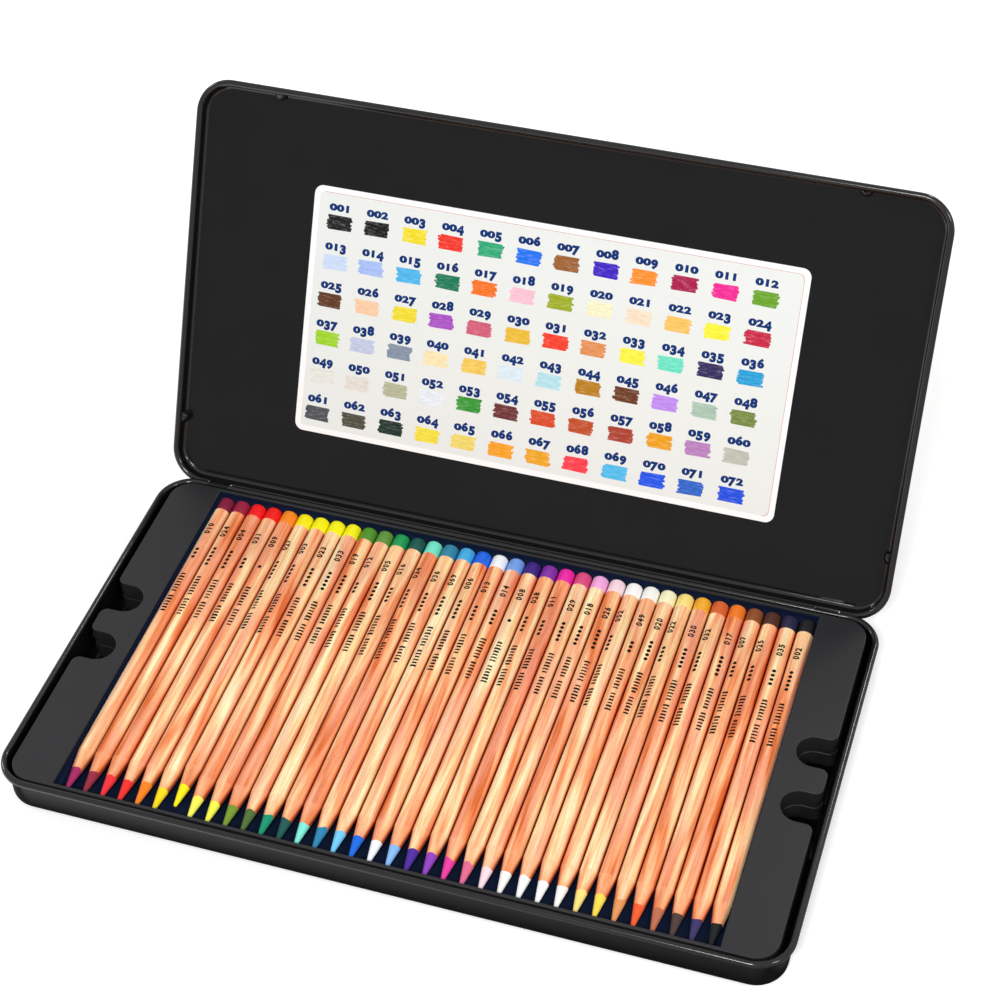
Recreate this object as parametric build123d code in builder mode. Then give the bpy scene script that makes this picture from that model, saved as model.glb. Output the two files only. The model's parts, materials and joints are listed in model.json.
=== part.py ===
from build123d import *
from math import cos, radians, sin
import os

# Pastel pencil tin, open: a shallow pressed steel tin with a hinged lid, two stacked
# plastic trays of sharpened pastel pencils and a paper colour card glued inside the lid.
# Millimetres. X runs along the tin, +Y towards the hinges, +Z up.
# The origin is at the centre of the base's flat bottom.

# Pencils
pencil_length = 175.0
pencil_diameter = 7.5
pencil_gap = 0.3
pencils_in_row = 36
point_length = 20.0
tip_radius = 0.7
tip_blunting = 0.5
core_diameter = 4.6
dip_length = 8.0
dip_edge_radius = 2.2
glue_line = 0.02
short_pencil = 7
short_pencil_loss = 4.5

# Trays and their paper liners
row_clearance = 0.3
end_clearance = 1.4
liner_thickness = 0.3
liner_drop = 1.0
tray_wall = 0.6
tray_border = 1.5
ledge_width = 21.8
ledge_foot_gap = 2.0
tray_corner_radius = 10.0
tray_edge_radius = 0.4
layer_clearance = 1.05
rest_gap = 0.05
notch_radius = 7.8
notch_depth = 15.4
notch_spacing = 29.2
notch_mouth_radius = 3.5

# Tin
sheet = 0.4
rim_radius = 1.5
rim_gap = 0.2
rim_tuck_angle = 30.0
tin_corner_radius = 16.0
base_edge_radius = 4.0
tray_end_gap = 2.9
tray_side_gap = 0.6
tray_drop = 0.3
lid_depth = 5.6
lid_edge_radius = 2.4
open_angle = 117.0

# Hinges
hinge_inset = 25.5
knuckle_width = 10.0
knuckle_side_gap = 0.4
knuckle_drop_gap = 0.6
knuckle_opening = 100.0
pin_clearance = 0.05
pin_grip = 4.0

# Lid dimples and colour card
dimple_radius = 3.0
dimple_punch_radius = 2.0
dimple_depth = 4.1
front_dimple_inset = 38.5
side_dimple_inset = 30.0
card_length = 224.0
card_width = 114.0
card_thickness = 0.3
card_corner_radius = 4.0
card_shift_x = 0.8
card_shift_y = 3.0

# Sizes worked out from the ones above
pencil_radius = pencil_diameter / 2
core_radius = core_diameter / 2
pencil_pitch = pencil_diameter + pencil_gap
row_length = pencils_in_row * pencil_pitch - pencil_gap
point_slope = (pencil_radius - tip_radius) / point_length
bare_core_length = (core_radius - tip_radius) / point_slope

recess_length = row_length + 2 * (row_clearance + liner_thickness)
recess_width = pencil_length + 2 * (end_clearance + liner_thickness)
tray_length = recess_length + 2 * ledge_width
tray_width = recess_width + 2 * tray_border
tray_height = tray_wall + liner_thickness + rest_gap + pencil_diameter + layer_clearance
notch_centre_x = tray_length / 2 - notch_depth + notch_radius

inner_length = tray_length + 2 * tray_end_gap
inner_width = tray_width + 2 * tray_side_gap
inner_corner_radius = tin_corner_radius - 2 * rim_radius
wall_length = inner_length + 2 * sheet
wall_width = inner_width + 2 * sheet
wall_corner_radius = inner_corner_radius + sheet
tin_length = inner_length + 4 * rim_radius
tin_width = inner_width + 4 * rim_radius

lower_tray_z = sheet + rest_gap
upper_tray_z = lower_tray_z + tray_height + rest_gap
base_height = upper_tray_z + tray_height + tray_drop

curl_bore = rim_radius - sheet
curl_length = inner_length + 2 * rim_radius
curl_width = inner_width + 2 * rim_radius
curl_corner_radius = inner_corner_radius + rim_radius
pin_radius = curl_bore - pin_clearance
pin_length = knuckle_width + 2 * (knuckle_side_gap + pin_grip)
window_width = knuckle_width + 2 * knuckle_side_gap
window_reach = 3 * rim_radius
window_height = 2 * (rim_radius + knuckle_drop_gap)
hinge_x = tin_length / 2 - hinge_inset
hinge_y = tin_width / 2 - rim_radius
hinge_z = base_height - rim_radius

lid_curl_height = 2 * rim_radius + rim_gap
lid_edge_height = rim_radius + rim_gap
lid_inside_height = lid_edge_height + lid_depth
lid_plane = Plane(
    origin=(0, hinge_y, hinge_z),
    x_dir=(1, 0, 0),
    z_dir=(0, sin(radians(open_angle)), cos(radians(open_angle))),
)
lid_middle = Plane(
    origin=lid_plane.from_local_coords((0, -hinge_y, 0)),
    x_dir=lid_plane.x_dir,
    z_dir=lid_plane.z_dir,
)

os.makedirs("parts", exist_ok=True)


def save(part, name):
    """Labels a finished piece and writes it under its own name."""
    part.label = name
    export_step(part, f"parts/{name}.step")


def pressed_block(plane, length, width, corner_radius, low, high, edge_radius, closed_end):
    """A block with rounded corners and one rounded end, from low to high along the plane's normal."""
    with BuildPart() as block:
        with BuildSketch(plane.offset(low)):
            RectangleRounded(length, width, corner_radius)
        extrude(amount=high - low)
        levels = block.edges().group_by(Axis(plane.origin, plane.z_dir))
        fillet(levels[closed_end], edge_radius)
    return block.part


def rolled_edge(plane, centre_height, tuck_angle):
    """A hollow curl round the tin, open for tuck_angle where its lip meets the wall."""
    with BuildSketch(plane.offset(centre_height)) as route:
        RectangleRounded(curl_length, curl_width, curl_corner_radius)
    start = plane.from_local_coords((0, curl_width / 2, centre_height))
    with BuildPart() as curl:
        with BuildSketch(Plane(origin=start, x_dir=plane.y_dir, z_dir=plane.x_dir)):
            Circle(rim_radius)
            Circle(curl_bore, mode=Mode.SUBTRACT)
            with BuildLine():
                at_wall = PolarLine((0, 0), 2 * rim_radius, 180)
                at_lip = PolarLine((0, 0), 2 * rim_radius, 180 + tuck_angle)
                Line(at_wall @ 1, at_lip @ 1)
            make_face(mode=Mode.SUBTRACT)
        sweep(path=route.sketch.face().outer_wire())
    return curl.part


# Base: a pressed pan of sheet steel with a rolled rim, cut away where the lid's knuckles turn
base_outside = pressed_block(
    Plane.XY, wall_length, wall_width, wall_corner_radius, 0, hinge_z, base_edge_radius, 0
)
base_inside = pressed_block(
    Plane.XY,
    inner_length,
    inner_width,
    inner_corner_radius,
    sheet,
    base_height,
    base_edge_radius - sheet,
    0,
)
base_curl = rolled_edge(Plane.XY, hinge_z, rim_tuck_angle)
with BuildPart() as base_tin:
    add(base_outside)
    add(base_inside, mode=Mode.SUBTRACT)
    add(base_curl)
    with Locations((-hinge_x, hinge_y, hinge_z), (hinge_x, hinge_y, hinge_z)):
        Box(window_width, window_reach, window_height, mode=Mode.SUBTRACT)
save(base_tin.part, "base_tin")

# Lid: a shallower pan with the same rim, four dimples punched inwards and two hinge knuckles
lid_outside = pressed_block(
    lid_middle,
    wall_length,
    wall_width,
    wall_corner_radius,
    lid_curl_height,
    lid_inside_height + sheet,
    lid_edge_radius,
    -1,
)
lid_inside = pressed_block(
    lid_middle,
    inner_length,
    inner_width,
    inner_corner_radius,
    0,
    lid_inside_height,
    lid_edge_radius - sheet,
    -1,
)
lid_curl = rolled_edge(lid_middle, lid_curl_height, -rim_tuck_angle)
front_dimple_x = tin_length / 2 - front_dimple_inset
side_dimple_y = tin_width / 2 - side_dimple_inset
dimple_height = lid_edge_height + dimple_depth
dimple_places = [
    Location(lid_middle.from_local_coords((x, y, dimple_height)))
    for x, y in (
        (-front_dimple_x, -inner_width / 2),
        (front_dimple_x, -inner_width / 2),
        (-inner_length / 2, side_dimple_y),
        (inner_length / 2, side_dimple_y),
    )
]
with BuildPart() as lid_hollow:
    add(lid_inside)
    with Locations(*dimple_places):
        Sphere(dimple_radius, mode=Mode.SUBTRACT)
with BuildPart() as lid_tin:
    add(lid_outside)
    add(lid_hollow.part, mode=Mode.SUBTRACT)
    with Locations(*dimple_places):
        Sphere(dimple_punch_radius, mode=Mode.SUBTRACT)
    add(lid_curl)
    for side in (-1, 1):
        knuckle_plane = Plane(
            origin=(side * hinge_x, hinge_y, hinge_z), x_dir=lid_plane.y_dir, z_dir=(1, 0, 0)
        )
        with BuildSketch(knuckle_plane):
            with Locations((-curl_bore, lid_edge_height)):
                Rectangle(
                    2 * rim_radius, 2 * rim_radius, align=(Align.MIN, Align.MIN)
                )
        extrude(amount=window_width / 2, both=True, mode=Mode.SUBTRACT)
        with BuildSketch(knuckle_plane):
            Circle(rim_radius)
            with BuildLine():
                at_strap = PolarLine((0, 0), 2 * rim_radius, 180)
                at_lip = PolarLine((0, 0), 2 * rim_radius, 180 - knuckle_opening)
                Line(at_strap @ 1, at_lip @ 1)
            make_face(mode=Mode.SUBTRACT)
            with Locations((-rim_radius, 0)):
                Rectangle(sheet, lid_curl_height + rim_radius, align=(Align.MIN, Align.MIN))
            Circle(curl_bore, mode=Mode.SUBTRACT)
        extrude(amount=knuckle_width / 2, both=True)
save(lid_tin.part, "lid_tin")

# Hinge pins: one wire through each knuckle, gripped by the base's curl at both ends
for side, name in ((-1, "hinge_pin_left"), (1, "hinge_pin_right")):
    with BuildPart() as hinge_pin:
        with BuildSketch(Plane(origin=(side * hinge_x, hinge_y, hinge_z), z_dir=(1, 0, 0))):
            Circle(pin_radius)
        extrude(amount=pin_length / 2, both=True)
    save(hinge_pin.part, name)

# Colour card: glued to the inside of the lid
with BuildPart() as colour_card:
    with BuildSketch(lid_middle.offset(lid_inside_height - card_thickness)):
        with Locations((card_shift_x, card_shift_y)):
            RectangleRounded(card_length, card_width, card_corner_radius)
    extrude(amount=card_thickness)
save(colour_card.part, "colour_card")


def tray_outline(height, inset):
    """The tray seen from above, with its finger notches, drawn in by inset all round."""
    edge_x = tray_length / 2 - inset
    notch_rows = (-notch_spacing / 2, notch_spacing / 2)
    with BuildSketch(Plane.XY.offset(height)) as outline:
        RectangleRounded(2 * edge_x, tray_width - 2 * inset, tray_corner_radius - inset)
        for y in notch_rows:
            with Locations((-notch_centre_x, y), (notch_centre_x, y)):
                Circle(notch_radius + inset, mode=Mode.SUBTRACT)
            with Locations((-tray_length / 2, y), (tray_length / 2, y)):
                Rectangle(
                    2 * (notch_depth - notch_radius),
                    2 * (notch_radius + inset),
                    mode=Mode.SUBTRACT,
                )
        mouths = outline.vertices().filter_by(
            lambda v: abs(abs(v.X) - edge_x) < tray_wall / 2 and abs(v.Y) < notch_spacing
        )
        fillet(mouths, notch_mouth_radius - inset)
    return outline.sketch


# Trays and liners: a moulded recess for a row of pencils between two hollow ledges
for layer, tray_z in (("lower", lower_tray_z), ("upper", upper_tray_z)):
    recess_z = tray_z + tray_wall
    ledge_z = tray_z + tray_height
    pan_shape = pressed_block(
        Plane.XY,
        inner_length - 2 * rest_gap,
        inner_width - 2 * rest_gap,
        inner_corner_radius - rest_gap,
        tray_z,
        tray_z + 2 * tray_height,
        base_edge_radius - sheet - rest_gap,
        0,
    )
    with BuildPart() as tray:
        extrude(tray_outline(tray_z, 0), amount=tray_height)
        add(pan_shape, mode=Mode.INTERSECT)
        with BuildSketch(Plane.XY.offset(recess_z)):
            Rectangle(recess_length, recess_width)
        extrude(amount=tray_height, mode=Mode.SUBTRACT)
        fillet(tray.edges().group_by(Axis.Z)[-1], tray_edge_radius)
        with BuildSketch(Plane.XY.offset(tray_z)):
            add(tray_outline(tray_z, tray_wall))
            Rectangle(recess_length + 2 * tray_wall, tray_width, mode=Mode.SUBTRACT)
        extrude(amount=tray_height - tray_wall, mode=Mode.SUBTRACT)
        with BuildSketch(Plane.XY.offset(tray_z)):
            Rectangle(tray_length, tray_width)
            Rectangle(recess_length + 2 * tray_wall, tray_width, mode=Mode.SUBTRACT)
        extrude(amount=ledge_foot_gap, mode=Mode.SUBTRACT)
    save(tray.part, f"{layer}_tray")

    with BuildPart() as liner:
        with BuildSketch(Plane.XY.offset(recess_z)):
            Rectangle(recess_length, recess_width)
        extrude(amount=ledge_z - liner_drop - recess_z)
        with BuildSketch(Plane.XY.offset(recess_z + liner_thickness)):
            Rectangle(recess_length - 2 * liner_thickness, recess_width - 2 * liner_thickness)
        extrude(amount=tray_height, mode=Mode.SUBTRACT)
    save(liner.part, f"{layer}_liner")


def turned_pencil(lost):
    """Barrel, core and dipped end of a sharpened pencil along Y, its point worn back by lost."""
    point_y = lost - pencil_length / 2
    dip_y = pencil_length / 2 - dip_length
    bore_radius = core_radius + glue_line
    with BuildPart() as barrel:
        with BuildSketch(Plane.YZ):
            with BuildLine():
                Polyline(
                    (point_y + (bore_radius - tip_radius) / point_slope, bore_radius),
                    (point_y + point_length, pencil_radius),
                    (dip_y - glue_line, pencil_radius),
                    (dip_y - glue_line, bore_radius),
                    close=True,
                )
            make_face()
        revolve(axis=Axis.Y)
    with BuildPart() as core:
        with BuildSketch(Plane.YZ):
            with BuildLine():
                Polyline(
                    (point_y, 0),
                    (point_y, tip_radius),
                    (point_y + bare_core_length, core_radius),
                    (dip_y - glue_line, core_radius),
                    (dip_y - glue_line, 0),
                    close=True,
                )
            make_face()
        revolve(axis=Axis.Y)
        fillet(core.edges().group_by(Axis.Y)[0], tip_blunting)
    with BuildPart() as dip:
        with BuildSketch(Plane.XZ.offset(-dip_y)):
            Circle(pencil_radius)
        extrude(amount=-dip_length)
        fillet(dip.edges().group_by(Axis.Y)[-1], dip_edge_radius)
    return barrel.part, core.part, dip.part


# Pencils: thirty-six side by side in each tray, one of the upper row sharpened shorter
whole_pencil = turned_pencil(0)
worn_pencil = turned_pencil(short_pencil_loss)
row_x = [(i - (pencils_in_row - 1) / 2) * pencil_pitch for i in range(pencils_in_row)]
pencil_lift = tray_wall + liner_thickness + rest_gap + pencil_radius

for number, x in enumerate(row_x, start=1):
    pieces = worn_pencil if number == short_pencil else whole_pencil
    place = Location((x, 0, upper_tray_z + pencil_lift))
    pencil = Compound(children=[piece.moved(place) for piece in pieces])
    save(pencil, f"pencil_{number:02d}")

for pieces, name in zip(whole_pencil, ("lower_barrels", "lower_cores", "lower_dips")):
    places = [Location((x, 0, lower_tray_z + pencil_lift)) for x in row_x]
    save(Compound(children=[pieces.moved(place) for place in places]), name)
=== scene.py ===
"""An open tin of pastel pencils: black enamelled steel, moulded trays, cedar pencils and a colour card."""

import json
import math
import random

import bmesh
import bpy
from bpy.props import FloatProperty, FloatVectorProperty, IntProperty, PointerProperty
from mathutils import Matrix, Vector


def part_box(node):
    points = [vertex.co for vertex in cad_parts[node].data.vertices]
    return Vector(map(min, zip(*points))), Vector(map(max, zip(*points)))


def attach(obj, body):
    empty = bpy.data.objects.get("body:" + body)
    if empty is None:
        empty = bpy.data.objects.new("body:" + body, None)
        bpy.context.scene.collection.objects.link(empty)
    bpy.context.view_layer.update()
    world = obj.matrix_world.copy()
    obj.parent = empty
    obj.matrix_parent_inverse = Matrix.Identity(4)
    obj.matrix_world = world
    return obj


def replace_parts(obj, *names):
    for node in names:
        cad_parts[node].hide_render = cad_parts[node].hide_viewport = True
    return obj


bl_info = {
    "name": "Pastel pencil tin",
    "version": (1, 0, 0),
    "blender": (4, 5, 0),
    "location": "3D View > Sidebar > Pencil tin",
    "description": "Dresses an open tin of pastel pencils and sets it up on a pale table",
    "category": "Object",
}

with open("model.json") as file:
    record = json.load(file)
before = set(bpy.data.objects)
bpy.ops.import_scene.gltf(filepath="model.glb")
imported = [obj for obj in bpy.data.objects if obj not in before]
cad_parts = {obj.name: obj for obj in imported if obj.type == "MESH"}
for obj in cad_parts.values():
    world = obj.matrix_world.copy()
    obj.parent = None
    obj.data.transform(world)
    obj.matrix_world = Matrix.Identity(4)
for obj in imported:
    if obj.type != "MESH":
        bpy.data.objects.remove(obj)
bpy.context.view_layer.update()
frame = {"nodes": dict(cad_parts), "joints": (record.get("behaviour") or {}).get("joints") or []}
MM = 0.001


# Colours


def linear(code):
    """Turns a six-figure colour code into the linear values that shaders take."""
    channels = (int(code[i : i + 2], 16) / 255 for i in (0, 2, 4))
    return tuple(c / 12.92 if c <= 0.04045 else ((c + 0.055) / 1.055) ** 2.4 for c in channels)


def toned(tint, factor, plus=0.0):
    """A colour made lighter or darker."""
    return tuple(min(1, channel * factor + plus) for channel in tint)


WHITE = (1, 1, 1)

# Pigments, named as an artist would name them, in the order of the card
PIGMENTS = {
    "lamp black": "1d1d1f", "ivory black": "1a1a18", "cadmium yellow": "f0dd2c", "vermilion": "ee3a2b",
    "jade green": "2fa878", "azure": "1d72ee", "raw sienna": "9a5f2e", "ultramarine violet": "4424c2",
    "cadmium orange": "f78f2c", "crimson lake": "aa1f50", "magenta": "ee2a95", "leaf green": "69a32a",
    "ice blue": "c9daf5", "powder blue": "a5bdf3", "sky blue": "4fb6ea", "viridian": "1f7a57",
    "tangerine": "f47320", "baby pink": "f8bfd0", "olive lime": "9dac25", "cream": "f3efc6",
    "pale peach": "f5dfc4", "maize": "f6c260", "lemon": "f6ef3c", "carmine": "c42845",
    "burnt umber": "5f3822", "peach": "f7cba6", "chrome yellow": "efdc35", "orchid": "a852c4",
    "rose": "cf5f78", "yellow ochre": "e9bb38", "scarlet": "f0402a", "copper": "df9056",
    "primrose": "f4ef45", "mint": "6fe2c4", "indigo": "352c5e", "cerulean": "279fd6",
    "lime": "9ed327", "mist": "c0c9e3", "slate": "8392a5", "straw": "f6e5b5",
    "naples yellow": "f2cb5c", "frost": "d9e9f3", "pale aqua": "b2e0ea", "bronze ochre": "b9811f",
    "sepia": "6b3a1d", "lilac": "bd8bee", "sage": "a9c4b2", "moss": "74893f",
    "silver grey": "e4e4de", "warm white": "e3ddd4", "khaki": "b5b799", "snow": "e6edf5",
    "grass green": "379734", "oxblood": "6f3335", "burnt orange": "d84d27", "terracotta": "bf5029",
    "venetian red": "ab4331", "amber": "eba21c", "mauve": "b882bf", "dove grey": "bcbdb2",
    "graphite": "505359", "olive black": "4f4e40", "bottle green": "1f332c", "daffodil": "f2df42",
    "sand yellow": "efd76c", "marigold": "f6a326", "honey": "eda724", "coral": "f8414f",
    "light cerulean": "54bdee", "cobalt": "2255ea", "denim": "2f66c9", "royal blue": "2150e0",
}
CARD_ORDER = tuple(PIGMENTS)
CARD_COLUMNS = 12

# The upper row of pencils from left to right: number, dots in print, dipped end, point
UPPER_ROW = (
    (10, 3, "7d1536", "a0275f"), (24, 5, "96183a", "8f2a3d"), (4, 5, "f5161b", "ea3038"),
    (31, 3, "f21a12", "e8302c"), (9, 1, "ff861a", "f57f1d"), (27, 5, "ffe604", "fbd416"),
    (3, 5, "ffee04", "fde516"), (23, 5, "fff006", "faee5a"), (33, 5, "fcee08", "f6ee4c"),
    (19, 5, "4d8c26", "73922d"), (12, 3, "5b8f38", "4f6a35"), (5, 5, "149450", "14906a"),
    (16, 4, "0d5049", "1d5550"), (34, 5, "6fe0c2", "7fe2d2"), (36, 5, "2b7f9e", "2c7fa8"),
    (69, 5, "40a6dc", "70c4ec"), (6, 5, "1761dc", "1a68d8"), (13, 4, "ecf2fb", "eef4fb"),
    (14, 4, "6f9ae2", "84b4ee"), (8, 1, "37187a", "4c2a96"), (28, 4, "7c2aa0", "8b3fb5"),
    (11, 4, "e61fa2", "e23b9c"), (29, 5, "d4477c", "d9668a"), (18, 5, "f0a6da", "f6d3dc"),
    (26, 5, "fbd4da", "f7efe9"), (52, 4, "fcfbf9", "f8f8f6"), (49, 3, "fcf7ea", "f8f8f5"),
    (20, 5, "fdf1c2", "f8f6ee"), (22, 4, "fdd97e", "f5d77b"), (30, 5, "f2a92a", "f6d24f"),
    (32, 5, "d0602c", "d99058"), (17, 5, "ee7820", "ea5a2d"), (7, 4, "8a4a24", "b5694c"),
    (25, 4, "4d2a1d", "4a3a35"), (35, 4, "241f3f", "3a3362"), (2, 5, "141416", "191a1c"),
)

# The numbers of the row underneath, whose ends and points take the card's pigments
LOWER_ROW = (
    1, 38, 39, 15, 21, 37, 40, 41, 42, 43, 44, 45, 46, 47, 48, 50, 51, 53,
    54, 55, 56, 57, 58, 59, 60, 61, 62, 63, 64, 65, 66, 67, 68, 70, 71, 72,
)


def as_code(number):
    return PIGMENTS[CARD_ORDER[number - 1]]


# Sizes and colours that a user would change


def length(name, description, default):
    """A size, with its default in millimetres."""
    return FloatProperty(
        name=name, description=description, default=default * MM, unit="LENGTH", precision=5
    )


def angle(name, description, default):
    return FloatProperty(name=name, description=description, default=default, unit="ROTATION")


def colour(name, description, code):
    return FloatVectorProperty(
        name=name, description=description, default=linear(code), subtype="COLOR", size=3
    )


class TinFinishes(bpy.types.PropertyGroup):
    """Enamel, moulded plastic and navy paper."""

    enamel: colour("Enamel", "Satin black of the steel", "0c0c0d")
    plastic: colour("Trays", "Dark grey of the moulded trays", "222224")
    navy: colour("Liner", "Navy paper that lines the trays", "0a1a36")
    wire: colour("Hinge wire", "Dulled wire inside the knuckles", "56585b")
    smooth_angle: angle("Smoothing", "Edges flatter than this are shaded round", math.radians(32))


class PencilSizes(bpy.types.PropertyGroup):
    """One sharpened pencil and the row that it lies in."""

    diameter: length("Diameter", "Across the round barrel", 7.5)
    reach: length("Length", "From point to dipped end", 175.0)
    pitch: length("Spacing", "From one pencil to the next in a row", 7.8)
    point: length("Point", "Length of the sharpened cone", 20.0)
    bare_core: length("Bare core", "Length of the core that shows", 10.5)
    core: length("Core", "Across the core", 4.6)
    tip: length("Tip", "Radius of the blunted tip", 0.7)
    dip: length("Dip", "Length of the coloured end", 8.0)
    dip_round: length("End rounding", "Radius of the coloured end's edge", 1.4)
    lacquer: length("Lacquer", "Step from bare wood to lacquer", 0.04)
    worn_number: IntProperty(name="Worn pencil", description="Place in the row of the shorter one", default=7)
    worn: length("Worn by", "How far the shorter one is sharpened back", 4.5)
    sides: IntProperty(name="Sides", description="Faces round a barrel", default=36)


class PrintSizes(bpy.types.PropertyGroup):
    """The dark print along a barrel."""

    figure_height: length("Figure height", "Height of the colour number", 2.9)
    number_place: length("Number place", "From the dipped end to the number's middle", 21.4)
    dots_place: length("Dots place", "From the dipped end to the middle of the dots", 37.5)
    dot_pitch: length("Dot spacing", "From dot to dot", 2.45)
    dot_radius: length("Dot radius", "Radius of a dot", 0.88)
    bars_place: length("Bars place", "From the dipped end to the first bar", 51.0)
    bar_pitch: length("Bar spacing", "From bar to bar", 1.75)
    bars: IntProperty(name="Bars", description="How many plain bars follow the dots", default=14)
    lift: length("Ink", "How far the ink stands on the barrel", 0.03)
    ink: colour("Ink colour", "Near-black print", "100a08")


class CardSizes(bpy.types.PropertyGroup):
    """The printed colour card."""

    across: length("Width", "Along the tin", 224.0)
    upright: length("Height", "Across the tin", 114.0)
    thickness: length("Thickness", "Of the paper", 0.3)
    corner: length("Corners", "Corner radius", 4.0)
    band: length("White band", "Width of the white edge", 2.6)
    line: length("Border line", "Width of the pink line", 0.225)
    column_pitch: length("Column spacing", "From patch to patch", 17.57)
    row_pitch: length("Row spacing", "From row to row", 17.85)
    first_column: length("First column", "From the card's left edge to the first patch", 12.6)
    first_row: length("First row", "From the card's top edge to the first patch", 15.8)
    figure_rise: length("Number rise", "From a patch's middle up to its number's foot", 5.2)
    figure_height: length("Number height", "Height of the tallest figures", 4.5)
    figure_pitch: length("Figure spacing", "From figure to figure", 3.33)
    patch_width: length("Patch width", "Length of a pencil stroke", 11.34)
    patch_height: length("Patch height", "Height of a patch", 6.4)
    ragged: length("Raggedness", "How unevenly the strokes end", 0.55)
    strokes: IntProperty(name="Strokes", description="Pencil strokes in a patch", default=11)
    paper: colour("Paper", "Cool white of the card", "e1e4e1")
    edge_white: colour("Edge", "White of the card's edge", "f4f4f4")
    line_pink: colour("Line", "Pink of the border line", "b97f7a")
    figure_navy: colour("Numbers", "Navy of the numbers", "062a66")


class StageSizes(bpy.types.PropertyGroup):
    """Camera, sky and table."""

    camera_place: FloatVectorProperty(
        name="Camera", description="Where the camera stands",
        default=(0.240346, -0.598149, 0.770588), unit="LENGTH",
    )
    yaw: angle("Yaw", "Turn of the view to the left", -0.34151)
    pitch: angle("Pitch", "Tilt of the view downwards", 0.77878)
    roll: angle("Roll", "Lean of the view", -0.04389)
    lens: FloatProperty(name="Lens", description="Focal length in millimetres", default=84.042)
    sky: FloatProperty(name="Sky", description="Strength of the even light", default=0.45)
    table: colour("Table", "Pale table top", "e4e4e3")


# Node trees


class Value:
    """A number worked out by nodes, which takes + - * and / as plain numbers do."""

    def __init__(self, nodes, socket):
        self.nodes, self.socket = nodes, socket

    def __add__(self, other):
        return self.nodes.sums("ADD", self, other)

    def __sub__(self, other):
        return self.nodes.sums("SUBTRACT", self, other)

    def __mul__(self, other):
        return self.nodes.sums("MULTIPLY", self, other)

    def __truediv__(self, other):
        return self.nodes.sums("DIVIDE", self, other)


class Nodes:
    """A node tree under construction."""

    def __init__(self, tree):
        self.tree = tree

    def feed(self, socket, value):
        """Links another node's output to a socket, or sets the socket's own value."""
        if isinstance(value, Value):
            value = value.socket
        if isinstance(value, bpy.types.NodeSocket):
            self.tree.links.new(value, socket)
        elif socket.type == "RGBA":
            socket.default_value = (*value, 1)
        else:
            socket.default_value = value

    def node(self, kind, settings=None, **inputs):
        """Makes a node. Its inputs go by name, with _ for a space, or by place, as slot_0."""
        made = self.tree.nodes.new(kind)
        for name, value in (settings or {}).items():
            setattr(made, name, value)
        for name, value in inputs.items():
            key = int(name[5:]) if name.startswith("slot_") else name.replace("_", " ")
            self.feed(made.inputs[key], value)
        return made

    def values(self, sockets):
        return [Value(self, socket) for socket in sockets]

    def sums(self, operation, first, second=0.0):
        made = self.node("ShaderNodeMath", {"operation": operation}, slot_0=first, slot_1=second)
        return Value(self, made.outputs[0])

    def vector(self, x=0.0, y=0.0, z=0.0):
        return self.node("ShaderNodeCombineXYZ", X=x, Y=y, Z=z).outputs[0]

    def ranged(self, value, low, high, start=0.0, end=1.0):
        """Turns start to end into low to high, and holds still outside them."""
        made = self.node(
            "ShaderNodeMapRange", Value=value, From_Min=start, From_Max=end, To_Min=low, To_Max=high
        )
        return Value(self, made.outputs["Result"])

    def background_rays(self):
        """One where the camera, a gloss or a glass sees the surroundings, nought where they give light."""
        rays = self.node("ShaderNodeLightPath").outputs
        seen = rays["Is Camera Ray"]
        for kind in ("Is Glossy Ray", "Is Transmission Ray"):
            seen = self.sums("MAXIMUM", seen, rays[kind])
        return seen


class Finish(Nodes):
    """A material under construction, in millimetres of Object coordinates."""

    def __init__(self, name, roughness, tint=None, **shader_values):
        self.material = bpy.data.materials.new(name)
        self.material.use_nodes = True
        super().__init__(self.material.node_tree)
        self.shader = self.tree.nodes["Principled BSDF"]
        self.coat("Roughness", roughness)
        if tint is not None:
            self.coat("Base Color", tint)
            self.material.diffuse_color = (*tint, 1)
        for name, value in shader_values.items():
            self.coat(name.replace("_", " "), value)

    def coat(self, name, value):
        """Sets an input of the shader."""
        self.feed(self.shader.inputs[name], value)

    def place(self, scale=(1, 1, 1), shift=(0, 0, 0)):
        """Object coordinates in millimetres, stretched by scale and slid by shift."""
        spot = self.node("ShaderNodeTexCoord").outputs["Object"]
        scale = [s / MM for s in scale]
        return self.node("ShaderNodeMapping", Vector=spot, Location=shift, Scale=scale).outputs["Vector"]

    def axes(self):
        """The three coordinates in millimetres."""
        return self.values(self.node("ShaderNodeSeparateXYZ", Vector=self.place()).outputs)

    def grain(self, vector, scale, detail=4.0, roughness=0.5):
        made = self.node("ShaderNodeTexNoise", Vector=vector, Scale=scale, Detail=detail, Roughness=roughness)
        return Value(self, made.outputs["Fac"])

    def ramp(self, factor, *stops):
        made = self.node("ShaderNodeValToRGB", Fac=factor)
        points = made.color_ramp.elements
        while len(points) < len(stops):
            points.new(0.5)
        for point, (position, code) in zip(points, stops):
            point.position = position
            point.color = (*linear(code), 1)
        return Value(self, made.outputs["Color"])

    def blend(self, factor, first, second, kind="MIX"):
        settings = {"data_type": "RGBA", "blend_type": kind}
        return self.node("ShaderNodeMix", settings, slot_0=factor, slot_6=first, slot_7=second).outputs[2]

    def paint(self, factor, first, second):
        self.coat("Base Color", self.blend(factor, first, second))

    def roughen(self, factor, low, high):
        self.coat("Roughness", self.ranged(factor, low, high))

    def bump(self, height, strength, depth_mm):
        made = self.node("ShaderNodeBump", Height=height, Strength=strength, Distance=depth_mm * MM)
        self.coat("Normal", made.outputs["Normal"])

    def emission(self, strength):
        return self.node("ShaderNodeEmission", Color=WHITE, Strength=strength).outputs["Emission"]


# Materials


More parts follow.
